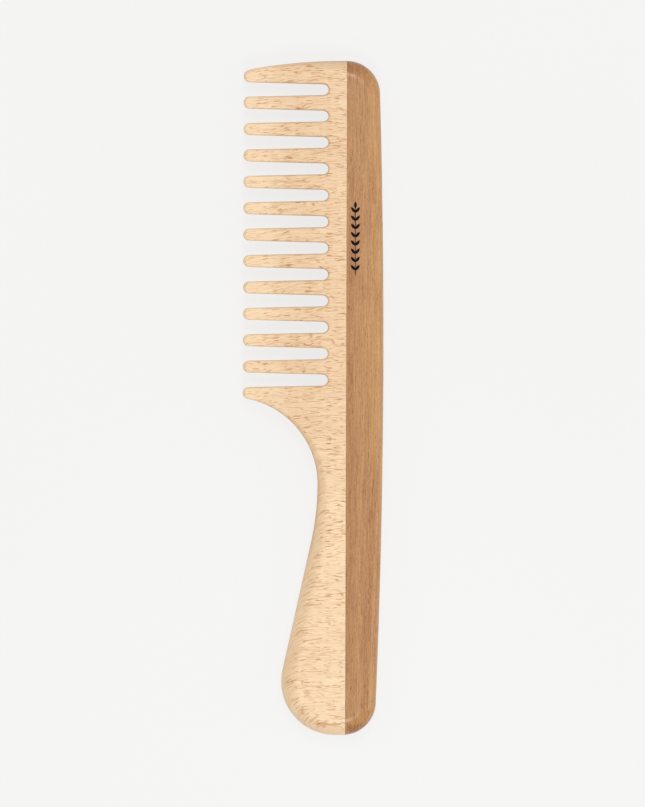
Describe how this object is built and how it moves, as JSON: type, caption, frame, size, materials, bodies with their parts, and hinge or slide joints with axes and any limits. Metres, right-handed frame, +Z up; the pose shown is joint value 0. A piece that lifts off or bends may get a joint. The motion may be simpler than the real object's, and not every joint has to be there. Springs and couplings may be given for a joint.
{
  "type": "wide tooth comb",
  "caption": "Wooden wide tooth comb with a handle: a pale board carrying the teeth, tongued and glued to a darker strip along the back.",
  "frame": {"origin": "centre of the comb's box, on the surface that it lies on, back face down", "axes": "+Z up through the thickness to the printed face, +Y from the end of the handle to the toothed end, +X from the teeth to the spine"},
  "size_m": [0.0396, 0.19, 0.01],
  "materials": {
    "beech": "fine-sanded and oiled beech, satin",
    "brown_wood": "fine-sanded and oiled reddish-brown hardwood, satin",
    "wood_glue": "cured wood glue, clear amber",
    "black_ink": "printed black ink, matt"
  },
  "bodies": {
    "root": {"tooth_plate": "beech", "spine": "brown_wood", "glue_film": "wood_glue", "printed_mark": "black_ink"}
  },
  "joints": []
}
